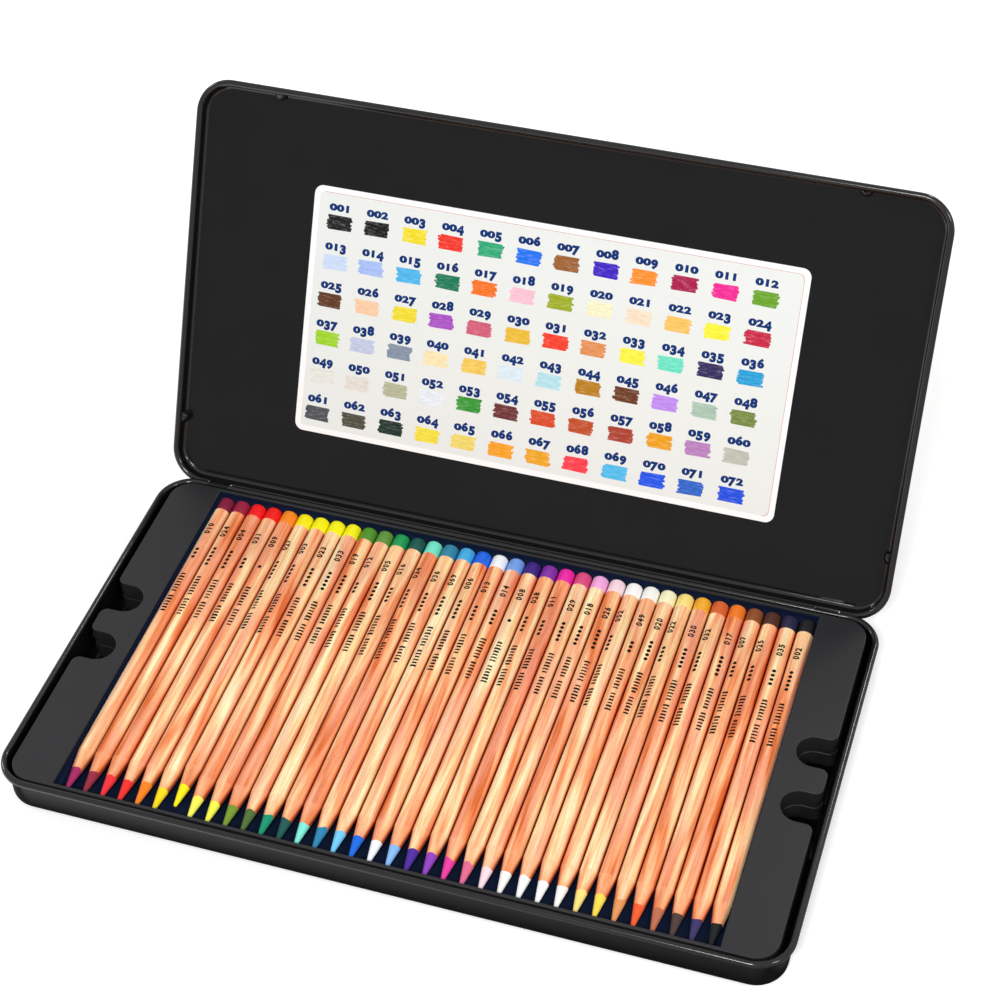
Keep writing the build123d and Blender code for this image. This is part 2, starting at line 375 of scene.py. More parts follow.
def baked_enamel(name, tint, shine, *roughness):
    """Black enamel with faint orange peel, and roughness in clouds between two levels or at one."""
    finish = Finish(name, roughness[0], tint, Specular_IOR_Level=shine)
    spots = finish.place()
    cloud = finish.grain(spots, 0.035, 3.0)
    finish.paint(cloud, tint, toned(tint, 1.35, 0.002))
    if len(roughness) > 1:
        finish.roughen(cloud, *roughness)
    finish.bump(finish.grain(spots, 1.6, 3.0), 0.035, 0.05)
    return finish.material


def moulded_plastic(tint):
    """Matt polystyrene with the fine spark texture of its mould."""
    finish = Finish("moulded_plastic", 0.4, tint, Specular_IOR_Level=0.24)
    spots = finish.place()
    spark = finish.grain(spots, 5.5, 2.0)
    finish.paint(finish.grain(spots, 0.05, 3.0), tint, toned(tint, 1.25))
    finish.roughen(spark, 0.33, 0.45)
    finish.bump(spark, 0.10, 0.03)
    return finish.material


def lining_paper(tint):
    """Navy paper with short fibres."""
    finish = Finish("lining_paper", 0.7, tint, Specular_IOR_Level=0.1)
    fibres = finish.grain(finish.place((1.0, 0.35, 1.0)), 2.4, 6.0, 0.62)
    finish.paint(fibres, toned(tint, 0.62), tint)
    finish.bump(fibres, 0.2, 0.04)
    return finish.material


def drawn_wire(tint):
    """Hard wire with lengthwise drawing marks."""
    finish = Finish("drawn_wire", 0.32, tint, Metallic=1.0)
    marks = finish.grain(finish.place((0.08, 1.0, 1.0)), 6.0, 3.0)
    finish.paint(marks, toned(tint, 0.75), tint)
    finish.roughen(marks, 0.25, 0.45)
    return finish.material


def cedar(name, cut):
    """Incense cedar: each pencil has its own tone, and streaks run along it. A cut cone is bare and paler.
    Shade low down between neighbours is painted in.
    """
    finish = Finish(name, 0.62 if cut else 0.5, Specular_IOR_Level=0.02)
    x, y, z = finish.axes()
    axis, upper_axis = (middle_of(node).z / MM for node in ("lower_barrels", "pencil_01"))
    rise = upper_axis - axis
    pitch = bpy.context.scene.pencil_sizes.pitch / MM
    half_row = len(UPPER_ROW) / 2 * pitch

    # A number of its own for each pencil in both layers, and a tone drawn from it
    column = finish.sums("FLOOR", (x + half_row) / pitch)
    layer = finish.sums("FLOOR", z / (rise + 0.4))
    chance = finish.node("ShaderNodeTexWhiteNoise", {"noise_dimensions": "1D"}, W=column + layer * 41.0)
    tone = Value(finish, chance.outputs["Value"])

    # Broad bands of colour, slanted by chance
    slant = finish.sums("FRACT", tone * 17.0) - 0.5
    slanted = finish.vector((x + slant * 0.10 * y) * 0.30, y * 0.017, z * 0.16 + tone * 170.0)
    bands = finish.grain(slanted, 1.0, 2.6)
    wood = finish.ramp(
        tone * 0.40 + bands * 2.5 - 0.96,
        (0.06, "fff2c4"), (0.30, "ffdba2"), (0.48, "fcbd8e"), (0.70, "f69c69"), (0.96, "dc713c"),
    )

    # A rosy blush, streaks and dark pores along the grain
    slide = finish.vector(tone * 70.0, tone * 900.0)
    blush = finish.grain(finish.place((0.20, 0.020, 0.20), slide), 1.0, 2.0)
    streaks = finish.grain(finish.place((1.5, 0.030, 1.5), slide), 1.0, 3.0, 0.55)
    pores = finish.grain(finish.place((5.0, 0.30, 5.0), slide), 1.0, 3.0, 0.55)
    wood = finish.blend(finish.ranged(blush, 0.0, 0.65, 0.48, 0.66), wood, linear("f6ad92"))
    wood = finish.blend(0.36, wood, finish.ramp(streaks, (0.42, "ffffff"), (0.66, "c48458")), "MULTIPLY")
    wood = finish.blend(0.4, wood, finish.ramp(pores, (0.57, "ffffff"), (0.72, "a05a34")), "MULTIPLY")
    if cut:
        wood = finish.blend(0.35, wood, linear("f0b184"))

    # Painted shade: darker low down between neighbours, where their shadows fall, but not on the open side of
    # the row's end pencils
    lit = finish.ranged(z - layer * rise, 0.0, 1.0, axis + 0.2, axis + 2.6)
    open_side = finish.sums("GREATER_THAN", finish.sums("ABSOLUTE", x), half_row - pitch / 2 + 0.6)
    shade = finish.ramp(
        finish.sums("MAXIMUM", lit, open_side),
        (0.0, "8a2c08"), (0.34, "c4683a"), (0.62, "f6d9c6"), (1.0, "ffffff"),
    )
    finish.coat("Base Color", finish.blend(0.9, wood, shade, "MULTIPLY"))
    finish.bump(streaks, 0.22 if cut else 0.06, 0.06)
    return finish.material


def pastel_core(name, code):
    """Dry chalky core, a little uneven."""
    tint = linear(code)
    finish = Finish(name, 0.85, tint, Specular_IOR_Level=0.15)
    dust = finish.grain(finish.place(), 3.2, 5.0, 0.65)
    finish.paint(dust, toned(tint, 0.86), toned(tint, 1.18, 0.01))
    finish.bump(dust, 0.35, 0.08)
    return finish.material


def dipped_lacquer(name, code):
    """Semi-gloss lacquer of a dipped end."""
    tint = linear(code)
    finish = Finish(name, 0.34, tint, Specular_IOR_Level=0.3, Coat_Weight=0.12, Coat_Roughness=0.15)
    cloud = finish.grain(finish.place(), 0.8, 3.0)
    finish.paint(cloud, tint, toned(tint, 1.2, 0.01))
    finish.bump(cloud, 0.12, 0.06)
    return finish.material


def plain_ink(name, tint, roughness=0.55):
    """Printed ink, slightly broken up."""
    finish = Finish(name, roughness, tint, Specular_IOR_Level=0.08)
    speckle = finish.grain(finish.place(), 4.0, 3.0)
    finish.paint(speckle, tint, toned(tint, 1.4, 0.004))
    return finish.material


def card_paper(name, tint):
    """Smooth uncoated card with a faint tooth."""
    finish = Finish(name, 0.68, tint)
    tooth = finish.grain(finish.place(), 2.2, 6.0, 0.6)
    finish.paint(tooth, toned(tint, 0.965), tint)
    finish.bump(tooth, 0.12, 0.03)
    return finish.material


def rubbed_pastel(paper):
    """Pastel rubbed on paper: pigment from the patch, streaked along the strokes, with paper in the gaps."""
    finish = Finish("rubbed_pastel", 0.85, Specular_IOR_Level=0.15)
    pigment = finish.node("ShaderNodeAttribute", {"attribute_name": "pigment"}).outputs["Color"]
    streaks = finish.grain(finish.place((0.28, 2.2, 1.1)), 1.0, 5.0, 0.7)
    tooth = finish.grain(finish.place(), 3.4, 3.0, 0.6)
    gaps = finish.ramp(streaks + tooth * 0.5, (0.78, "000000"), (0.98, "ffffff"))
    shade = finish.ramp(streaks, (0.30, "c9c9c9"), (0.60, "ffffff"))
    rubbed = finish.blend(0.5, pigment, shade, "MULTIPLY")
    finish.paint(gaps * 0.26, rubbed, paper)
    return finish.material


def table_white(tint):
    """Keeps the tin's shadow and fades to white far off. What gloss sees of it is a painted reflection: a
    glow, darker near the tin's foot as painted shade and darker to the right as painted fall-off of light.
    """
    finish = Finish("table_white", 0.9, tint)
    finish.paint(finish.grain(finish.place(), 0.02, 2.0), tint, toned(tint, 0.99))
    away = finish.node("ShaderNodeVectorMath", {"operation": "LENGTH"}, slot_0=finish.place())
    fading = finish.ranged(away.outputs["Value"], 0.38, 1.0, 320.0, 900.0)
    glow = finish.emission(finish.background_rays() * fading)
    lit = finish.node("ShaderNodeAddShader", slot_0=finish.shader.outputs["BSDF"], slot_1=glow)

    # Painted reflection: gloss sees a glow instead of the table, dimmed near the tin's foot as painted shade
    # and towards the right as painted fall-off of light
    x, y, _ = finish.axes()
    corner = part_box("base_tin")[1] / MM
    beside = finish.sums("ABSOLUTE", x) - corner.x
    before = finish.sums("ABSOLUTE", y) - corner.y
    foot = finish.ranged(finish.sums("MAXIMUM", beside, before), 0.12, 2.2, 0.0, 12.0)
    painted_reflection = finish.emission(foot * finish.ranged(x, 1.05, 0.30, -150.0, 150.0))
    glossy = finish.node("ShaderNodeLightPath").outputs["Is Glossy Ray"]
    seen = finish.node("ShaderNodeMixShader", slot_0=glossy, slot_1=lit.outputs[0], slot_2=painted_reflection)
    finish.feed(finish.tree.nodes["Material Output"].inputs["Surface"], seen.outputs[0])
    return finish.material


# Meshes

WELD = 0.002 * MM


def middle_of(node):
    return sum(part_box(node), Vector()) / 2


def meshed(shape, name):
    """Turns a shape under construction into a mesh."""
    mesh = bpy.data.meshes.new(name)
    shape.to_mesh(mesh)
    shape.free()
    return mesh


def new_piece(name, data):
    piece = bpy.data.objects.new(name, data)
    bpy.context.scene.collection.objects.link(piece)
    return piece


def evaluated_mesh(piece):
    """The mesh of a piece with its modifiers applied."""
    bpy.context.view_layer.update()
    return bpy.data.meshes.new_from_object(piece.evaluated_get(bpy.context.evaluated_depsgraph_get()))


def dress(node, name, body, slot, *materials, second=None):
    """Covers a solid with a copy whose triangles are joined and whose curves are shaded round.

    Faces whose middles second picks take the second material.
    """
    copy = bmesh.new()
    copy.from_mesh(frame["nodes"][node].data)
    bmesh.ops.remove_doubles(copy, verts=copy.verts, dist=WELD)
    for face in copy.faces if second else ():
        face.material_index = int(second(face.calc_center_median()))
    mesh = meshed(copy, name)
    mesh.shade_smooth()
    mesh.set_sharp_from_angle(angle=bpy.context.scene.tin_finishes.smooth_angle)
    for material in materials:
        mesh.materials.append(material)
    piece = new_piece(name, mesh)
    even = piece.modifiers.new("even_shading", "WEIGHTED_NORMAL")
    even.weight = 100
    even.keep_sharp = True
    piece.data = evaluated_mesh(piece)
    piece.modifiers.remove(even)
    bpy.data.meshes.remove(mesh)
    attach(piece, body)
    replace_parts(piece, node)


# The finishes of a pencil, in the order of its mesh's materials
LACQUERED, BARE, CORE, DIPPED, INKED = range(5)
BARREL_RINGS = 12
END_RINGS = 6

# The side to which a cone leans, in radians round the pencil, and the least and most height of a wave
LEAN_SIDE = 0.6
WAVES = (0.10, 0.28)


def pencil_profile(sizes, lost):
    """Stations from point to end: distance, radius, finish up to there, and share in the wavy edge."""
    radius, core = sizes.diameter / 2, sizes.core / 2
    bare = radius - sizes.lacquer
    barrel = radius - sizes.lacquer / 2
    cone = sizes.point
    point = (
        (0.0, 0.0, CORE, 0.0),
        (0.03 * MM, sizes.tip * 0.45, CORE, 0.0),
        (0.18 * MM, sizes.tip * 0.85, CORE, 0.0),
        (0.55 * MM, sizes.tip + 0.06 * MM, CORE, 0.0),
        (sizes.bare_core * 0.5, (sizes.tip + core) / 2, CORE, 0.0),
        (sizes.bare_core, core - 0.02 * MM, CORE, 1.0),
        (sizes.bare_core + 0.05 * MM, core + 0.03 * MM, BARE, 1.0),
        ((sizes.bare_core + cone) / 2, (core + bare) / 2, BARE, 0.3),
        (cone - 0.1 * MM, bare - 0.02 * MM, BARE, 0.6),
        (cone + 0.12 * MM, bare + 0.02 * MM, LACQUERED, 0.6),
        (cone + 1.5 * MM, barrel, LACQUERED, 0.0),
    )
    stations = [(lost + reach, across, finish, uneven) for reach, across, finish, uneven in point]
    dip = sizes.reach - sizes.dip
    shoulder = lost + cone
    for ring in range(1, BARREL_RINGS):
        stations.append((shoulder + (dip - shoulder) * ring / BARREL_RINGS, barrel, LACQUERED, 0.0))
    stations += [
        (dip - 0.02 * MM, barrel, LACQUERED, 0.12),
        (dip, radius - 0.01 * MM, DIPPED, 0.12),
        (dip + 0.25 * MM, radius, DIPPED, 0.0),
    ]
    rounding = sizes.dip_round
    for ring in range(END_RINGS + 1):
        turn = math.radians(90 * ring / END_RINGS)
        reach = sizes.reach - rounding + rounding * math.sin(turn)
        stations.append((reach, radius - rounding * (1 - math.cos(turn)), DIPPED, 0.0))
    stations.append((sizes.reach, 0.0, DIPPED, 0.0))
    return stations


def turn_pencil(shape, sizes, centre, lost, lean, seed):
    """Turns one pencil into shape along +Y, with a slightly wavy edge where the sharpener stopped."""
    chance = random.Random(seed)
    waves = [(chance.uniform(*WAVES) * MM, chance.uniform(0, math.tau), order) for order in (1, 2, 3)]
    slope = (sizes.diameter - 2 * sizes.tip) / (2 * sizes.point)
    middle_x, middle_z = centre
    rings = []
    for reach, radius, finish, uneven in pencil_profile(sizes, lost):
        y = reach - sizes.reach / 2
        if radius == 0:
            rings.append((finish, [shape.verts.new((middle_x, y, middle_z))]))
            continue
        ring = []
        for side in range(sizes.sides):
            turn = math.tau * side / sizes.sides
            drift = sum(size * math.sin(order * turn + phase) for size, phase, order in waves)
            if uneven == 1.0:
                drift += lean * math.cos(turn - LEAN_SIDE)
            drift *= uneven
            across = radius + drift * slope if finish in (BARE, CORE) else radius
            across = min(across, sizes.diameter / 2)
            spot = (middle_x + across * math.sin(turn), y + drift, middle_z + across * math.cos(turn))
            ring.append(shape.verts.new(spot))
        rings.append((finish, ring))
    for (_, near), (finish, far) in zip(rings, rings[1:]):
        for side in range(sizes.sides):
            pair = (side, (side + 1) % sizes.sides)
            corners = [near[i % len(near)] for i in pair] + [far[i % len(far)] for i in reversed(pair)]
            face = shape.faces.new(list(dict.fromkeys(corners)))
            face.material_index = finish
            face.smooth = True


def figure_shapes(height, boldness):
    """Flat outlines of the ten figures, centred, standing on zero. A nine is a six upside down."""
    shapes = {}
    for figure in "012345678":
        curve = bpy.data.curves.new("figure", "FONT")
        curve.body = figure
        curve.resolution_u = 4
        curve.offset = boldness
        written = new_piece("figure", curve)
        flat = evaluated_mesh(written)
        spread = [v.co.x for v in flat.vertices]
        rise = [v.co.y for v in flat.vertices]
        middle, foot, tall = (min(spread) + max(spread)) / 2, min(rise), max(rise) - min(rise)
        points = [((v.co.x - middle) * height / tall, (v.co.y - foot) * height / tall) for v in flat.vertices]
        shapes[figure] = (points, [tuple(p.vertices) for p in flat.polygons])
        bpy.data.objects.remove(written)
        bpy.data.curves.remove(curve)
        bpy.data.meshes.remove(flat)
    points, faces = shapes["6"]
    shapes["9"] = ([(-x, height - y) for x, y in points], faces)
    return shapes


def add_figure(shape, figure, place_point):
    """Adds one flat figure, with each of its points sent through place_point."""
    points, faces = figure
    corners = [shape.verts.new(place_point(x, y)) for x, y in points]
    for face in faces:
        shape.faces.new([corners[i] for i in face])


# Trees of geometry nodes


class Recipe(Nodes):
    """A tree of geometry nodes under construction, with named inputs of the given types."""

    SOCKETS = {float: "NodeSocketFloat", int: "NodeSocketInt", bpy.types.Material: "NodeSocketMaterial"}

    def __init__(self, name, **kinds):
        super().__init__(bpy.data.node_groups.new(name, "GeometryNodeTree"))
        face = self.tree.interface
        face.new_socket("Geometry", in_out="INPUT", socket_type="NodeSocketGeometry")
        for label, kind in kinds.items():
            face.new_socket(label.replace("_", " "), in_out="INPUT", socket_type=self.SOCKETS[kind])
        face.new_socket("Geometry", in_out="OUTPUT", socket_type="NodeSocketGeometry")
        sockets = self.tree.nodes.new("NodeGroupInput").outputs
        self.given = dict(zip(("Geometry", *kinds), self.values(sockets)))

    def chance(self, low, high, seed, index):
        made = self.node(
            "FunctionNodeRandomValue", {"data_type": "FLOAT"}, slot_2=low, slot_3=high, Seed=seed, ID=index
        )
        return Value(self, made.outputs[1])

    def index(self):
        return Value(self, self.node("GeometryNodeInputIndex").outputs[0])

    def copies(self, points, shape, **placing):
        return self.node("GeometryNodeInstanceOnPoints", Points=points, Instance=shape, **placing).outputs[0]

    def real(self, geometry):
        return self.node("GeometryNodeRealizeInstances", Geometry=geometry).outputs[0]

    def finish(self, geometry):
        """Gives the result its material, and ends the tree."""
        coated = self.node("GeometryNodeSetMaterial", Geometry=geometry, Material=self.given["Finish"])
        self.node("NodeGroupOutput", Geometry=coated.outputs[0])
        return self.tree


def grown(source, recipe, **values):
    """Runs source through a tree, and returns the plain mesh that comes out."""
    modifier = source.modifiers.new("recipe", "NODES")
    modifier.node_group = recipe
    for item in recipe.interface.items_tree:
        key = item.name.replace(" ", "_")
        if item.in_out == "INPUT" and key in values:
            modifier[item.identifier] = values[key]
    mesh = evaluated_mesh(source)
    source.modifiers.remove(modifier)
    bpy.data.objects.remove(source)
    return mesh


def patch_recipe():
    """Each point becomes a patch of pencil strokes laid side by side, ragged at both ends."""
    recipe = Recipe(
        "scribbled_patches", Width=float, Height=float, Ragged=float, Strokes=int, Seed=int,
        Finish=bpy.types.Material,
    )
    given, index = recipe.given, recipe.index()
    count, height, seed = given["Strokes"], given["Height"], given["Seed"]
    points = recipe.node("GeometryNodeMeshToPoints", Mesh=given["Geometry"]).outputs[0]
    doubled = recipe.node(
        "GeometryNodeDuplicateElements", {"domain": "POINT"}, Geometry=points, Amount=count
    )
    strokes, number = recipe.values(doubled.outputs)
    rise = (number / (count - 1.0) - 0.5) * (height * 0.87)
    aside = recipe.chance(-1.0, 1.0, seed, index) * given["Ragged"]
    level = number * (0.0012 * MM) + 0.006 * MM
    spread = recipe.node(
        "GeometryNodeSetPosition", Geometry=strokes, Offset=recipe.vector(aside, rise, level)
    ).outputs[0]

    thickness = height * 1.7 / count
    box = recipe.node("GeometryNodeCurvePrimitiveQuadrilateral", Width=given["Width"], Height=thickness)
    soft = recipe.node(
        "GeometryNodeFilletCurve", {"mode": "POLY"}, Curve=box.outputs[0], Count=3, Radius=thickness * 0.42
    )
    filled = recipe.node("GeometryNodeFillCurve", {"mode": "TRIANGLES"}, Curve=soft.outputs[0]).outputs[0]
    stretch = recipe.chance(-1.0, 1.0, seed + 7.0, index) * 0.06 + 0.96
    lean = recipe.vector(z=recipe.chance(-0.035, 0.035, seed + 3.0, index))
    laid = recipe.copies(spread, filled, Rotation=lean, Scale=recipe.vector(stretch, 1.0, 1.0))
    return recipe.finish(recipe.real(laid))


def print_recipe():
    """Adds dots and plain bars to flat figures, and rolls all of it round a barrel along +Y."""
    recipe = Recipe(
        "barrel_print", Dots=int, Dot_pitch=float, Dot_radius=float, Dots_at=float, Bars=int, Bar_pitch=float,
        Bars_at=float, Bar_height=float, Barrel_radius=float, Roll=float, Centre_X=float, Centre_Z=float,
        Seed=int, Finish=bpy.types.Material,
    )
    given, index = recipe.given, recipe.index()
    radius, seed = given["Barrel_radius"], given["Seed"]

    def row(kind):
        """Points for the dots or the bars, from the end towards the point of the pencil."""
        start = recipe.vector(y=given[f"{kind}s_at"])
        step = recipe.vector(y=given[f"{kind}_pitch"] * -1.0)
        line = recipe.node("GeometryNodeMeshLine", Count=given[f"{kind}s"], Start_Location=start, Offset=step)
        return line.outputs[0]

    disc = recipe.node(
        "GeometryNodeMeshCircle", {"fill_type": "TRIANGLE_FAN"}, Vertices=14, Radius=given["Dot_radius"]
    )
    dotted = recipe.copies(row("Dot"), disc.outputs[0])

    # The last bar of every eight is left out, as a gap between two words
    blank = recipe.node(
        "FunctionNodeCompare", {"data_type": "FLOAT", "operation": "EQUAL"},
        slot_0=recipe.sums("MODULO", index, 8.0), slot_1=7.0,
    ).outputs[0]
    kept = recipe.node(
        "GeometryNodeDeleteGeometry", {"domain": "POINT"}, Geometry=row("Bar"), Selection=blank
    ).outputs[0]
    width = given["Bar_pitch"] * 0.52
    bar = recipe.node(
        "GeometryNodeMeshGrid", Size_X=given["Bar_height"], Size_Y=width, Vertices_X=9, Vertices_Y=2
    )
    tall, wide = recipe.chance(0.66, 1.0, seed, index), recipe.chance(0.8, 1.25, seed + 5.0, index)
    barred = recipe.copies(kept, bar.outputs[0], Scale=recipe.vector(tall, wide, 1.0))

    everything = recipe.node("GeometryNodeJoinGeometry")
    for source in (barred, dotted, given["Geometry"]):
        recipe.feed(everything.inputs[0], source)
    flat = recipe.real(everything.outputs[0])
    position = recipe.node("GeometryNodeInputPosition").outputs[0]
    x, y, _ = recipe.values(recipe.node("ShaderNodeSeparateXYZ", Vector=position).outputs)
    turn = x / radius + given["Roll"]
    across, up = recipe.sums("SINE", turn) * radius, recipe.sums("COSINE", turn) * radius
    place = recipe.vector(across + given["Centre_X"], y, up + given["Centre_Z"])
    return recipe.finish(recipe.node("GeometryNodeSetPosition", Geometry=flat, Position=place).outputs[0])


# Pencils

PENCIL_CREASE = math.radians(40)

# The number's stroke width, the spacing of its figures against their height, and its strips
BARREL_BOLDNESS = 0.045
FIGURE_ADVANCE = 0.82
NUMBER_STRIPS = 9

# How far the print is rolled round from the top in radians, and how far a cone leans, with their spreads
NUMBER_ROLL = -0.16
ROLL_SPREAD = 0.30
LEAN_SPREAD = 0.25 * MM

# One pencil of the upper row is sharpened clearly aslant
SLANTED_PLACE = 5
SLANTED_LEAN = 1.1 * MM


def flat_number(name, number, shapes, middle_y, height):
    """Three figures that read along +Y, cut across often enough to bend round a barrel."""
    flat = bmesh.new()
    for place, figure in enumerate(f"{number:03d}"):
        start = middle_y + (place - 1) * height * FIGURE_ADVANCE
        add_figure(flat, shapes[figure], lambda x, y: (height / 2 - y, start + x, 0))
    for strip in range(1, NUMBER_STRIPS):
        everything = flat.verts[:] + flat.edges[:] + flat.faces[:]
        across = ((strip / NUMBER_STRIPS - 0.5) * height, 0, 0)
        bmesh.ops.bisect_plane(flat, geom=everything, plane_co=across, plane_no=(1, 0, 0))
    return new_piece(name, meshed(flat, name))


def made_once(name, maker, *values):
    """A material that is made the first time it is asked for."""
    return bpy.data.materials.get(name) or maker(name, *values)


class PencilMaker:
    """Makes pencils that share their wood, their ink, their figures and their print's recipe."""

    def __init__(self, scene):
        self.sizes, self.prints = scene.pencil_sizes, scene.print_sizes
        self.lacquered = made_once("lacquered_cedar", cedar, False)
        self.bare = made_once("cut_cedar", cedar, True)
        self.ink = made_once("barrel_ink", plain_ink, tuple(self.prints.ink))
        self.shapes = figure_shapes(self.prints.figure_height, BARREL_BOLDNESS)
        self.recipe = print_recipe()

    def make(self, name, number, dots, end_code, core_code, centre, lost, lean, roll):
        """One pencil with its print, as one mesh of five finishes, round a centre in X and Z."""
        sizes, prints = self.sizes, self.prints
        far, height = sizes.reach / 2, prints.figure_height
        flat = flat_number(f"{name}_number", number, self.shapes, far - prints.number_place, height)
        inked = grown(
            flat, self.recipe, Dots=dots, Dot_pitch=prints.dot_pitch, Dot_radius=prints.dot_radius,
            Dots_at=far - prints.dots_place + (dots - 1) / 2 * prints.dot_pitch,
            Bars=prints.bars, Bar_pitch=prints.bar_pitch, Bars_at=far - prints.bars_place,
            Barrel_radius=sizes.diameter / 2 + prints.lift - sizes.lacquer / 2, Bar_height=height,
            Roll=roll, Centre_X=centre[0], Centre_Z=centre[1], Seed=number, Finish=self.ink,
        )
        body = bmesh.new()
        turn_pencil(body, sizes, centre, lost, lean, number)
        turned_faces = len(body.faces)
        body.from_mesh(inked)
        body.faces.ensure_lookup_table()
        for face in body.faces[turned_faces:]:
            face.material_index = INKED
            face.smooth = True
        bpy.data.meshes.remove(inked)
        mesh = meshed(body, name)
        mesh.set_sharp_from_angle(angle=PENCIL_CREASE)
        core = pastel_core(f"pastel_{number:03d}", core_code)
        end = dipped_lacquer(f"dip_{number:03d}", end_code)
        for finish in (self.lacquered, self.bare, core, end, self.ink):
            mesh.materials.append(finish)
        return new_piece(name, mesh)


# Operators


def lid_directions():
    """Out of the lid's inside and up along it, as it stands open."""
    hinge = next(joint for joint in frame["joints"] if joint["name"] == "lid_hinge")
    opened = math.radians(-hinge["range_deg"][0])
    out = Vector((0, -math.sin(opened), -math.cos(opened)))
    up = Vector((0, -math.cos(opened), math.sin(opened)))
    return out, up


class TIN_OT_dress_tin(bpy.types.Operator):
    """Enamels the base and the lid, and gives the hinge wires their finish"""

    bl_idname = "tin.dress_tin"
    bl_label = "Base, lid and hinges"

    # How far below the rim the shining parts start and end: the rolled edges and the lid's bend
    base_shines = ((-0.2 * MM, 3.2 * MM),)
    lid_shines = ((0.0, 3.4 * MM), (6.3 * MM, 7.14 * MM))

    def execute(self, context):
        finishes = context.scene.tin_finishes
        tint = tuple(finishes.enamel)
        satin = baked_enamel("satin_enamel", tint, 0.16, 0.09, 0.15)
        bent = baked_enamel("bent_enamel", tint, 0.38, 0.15)
        out, _ = lid_directions()
        base_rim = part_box("base_tin")[1].z
        lid_rim = middle_of("hinge_pin_left").dot(out)

        def on_base(spot):
            return any(start < base_rim - spot.z < end for start, end in self.base_shines)

        def on_lid(spot):
            return any(start < lid_rim - spot.dot(out) < end for start, end in self.lid_shines)

        dress("base_tin", "enamelled_base", "base", "black_steel", satin, bent, second=on_base)
        dress("lid_tin", "enamelled_lid", "lid", "black_steel", satin, bent, second=on_lid)
        wire = drawn_wire(tuple(finishes.wire))
        for side in ("left", "right"):
            dress(f"hinge_pin_{side}", f"hinge_wire_{side}", "base", "hinge_wire", wire)
        return {"FINISHED"}


class TIN_OT_line_trays(bpy.types.Operator):
    """Gives the two trays their moulded plastic and their navy paper"""

    bl_idname = "tin.line_trays"
    bl_label = "Trays and liners"

    def execute(self, context):
        finishes = context.scene.tin_finishes
        plastic = moulded_plastic(tuple(finishes.plastic))
        paper = lining_paper(tuple(finishes.navy))
        for layer in ("lower", "upper"):
            dress(f"{layer}_tray", f"{layer}_moulded_tray", f"{layer}_tray", "tray_plastic", plastic)
            dress(f"{layer}_liner", f"{layer}_navy_lining", f"{layer}_tray", "liner_paper", paper)
        return {"FINISHED"}


class TIN_OT_upper_pencils(bpy.types.Operator):
    """Makes the pencils of the upper tray, each in its own colour and with its own print"""

    bl_idname = "tin.upper_pencils"
    bl_label = "Upper pencils"
    seed = 11

    def execute(self, context):
        maker = PencilMaker(context.scene)
        chance = random.Random(self.seed)
        for place, row in enumerate(UPPER_ROW, start=1):
            node = f"pencil_{place:02d}"
            middle = middle_of(node)
            lost = maker.sizes.worn if place == maker.sizes.worn_number else 0.0
            slanted = place == SLANTED_PLACE
            lean = SLANTED_LEAN if slanted else chance.uniform(-LEAN_SPREAD, LEAN_SPREAD)
            roll = NUMBER_ROLL + chance.uniform(-ROLL_SPREAD, ROLL_SPREAD)
            piece = maker.make(f"printed_{node}", *row, (middle.x, middle.z), lost, lean, roll)
            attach(piece, node)
            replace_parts(piece, node)
        return {"FINISHED"}


class TIN_OT_lower_pencils(bpy.types.Operator):
    """Makes the row of pencils in the lower tray"""

    bl_idname = "tin.lower_pencils"
    bl_label = "Lower pencils"
    seed = 23
    dot_choices = (3, 4, 5, 5)

    def execute(self, context):
        maker = PencilMaker(context.scene)
        height = middle_of("lower_barrels").z
        chance = random.Random(self.seed)
        for place, number in enumerate(LOWER_ROW):
            centre = ((place - (len(LOWER_ROW) - 1) / 2) * maker.sizes.pitch, height)
            code = as_code(number)
            dots = chance.choice(self.dot_choices)
            lean = chance.uniform(-LEAN_SPREAD, LEAN_SPREAD)
            roll = NUMBER_ROLL + chance.uniform(-ROLL_SPREAD, ROLL_SPREAD)
            name = f"lower_pencil_{place + 1:02d}"
            piece = maker.make(name, number, dots, code, code, centre, 0.0, lean, roll)
            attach(piece, "lower_tray")
            if place == 0:
                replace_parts(piece, "lower_barrels", "lower_cores", "lower_dips")
        return {"FINISHED"}


def rounded_outline(across, upright, corner):
    """Points round a rounded rectangle, anticlockwise from the right."""
    steps = 8
    points = []
    for quarter, (side, top) in enumerate(((1, 1), (-1, 1), (-1, -1), (1, -1))):
        for step in range(steps + 1):
            turn = math.radians(90 * (quarter + step / steps))
            x = side * (across / 2 - corner) + corner * math.cos(turn)
            y = top * (upright / 2 - corner) + corner * math.sin(turn)
            points.append((x, y))
    return points


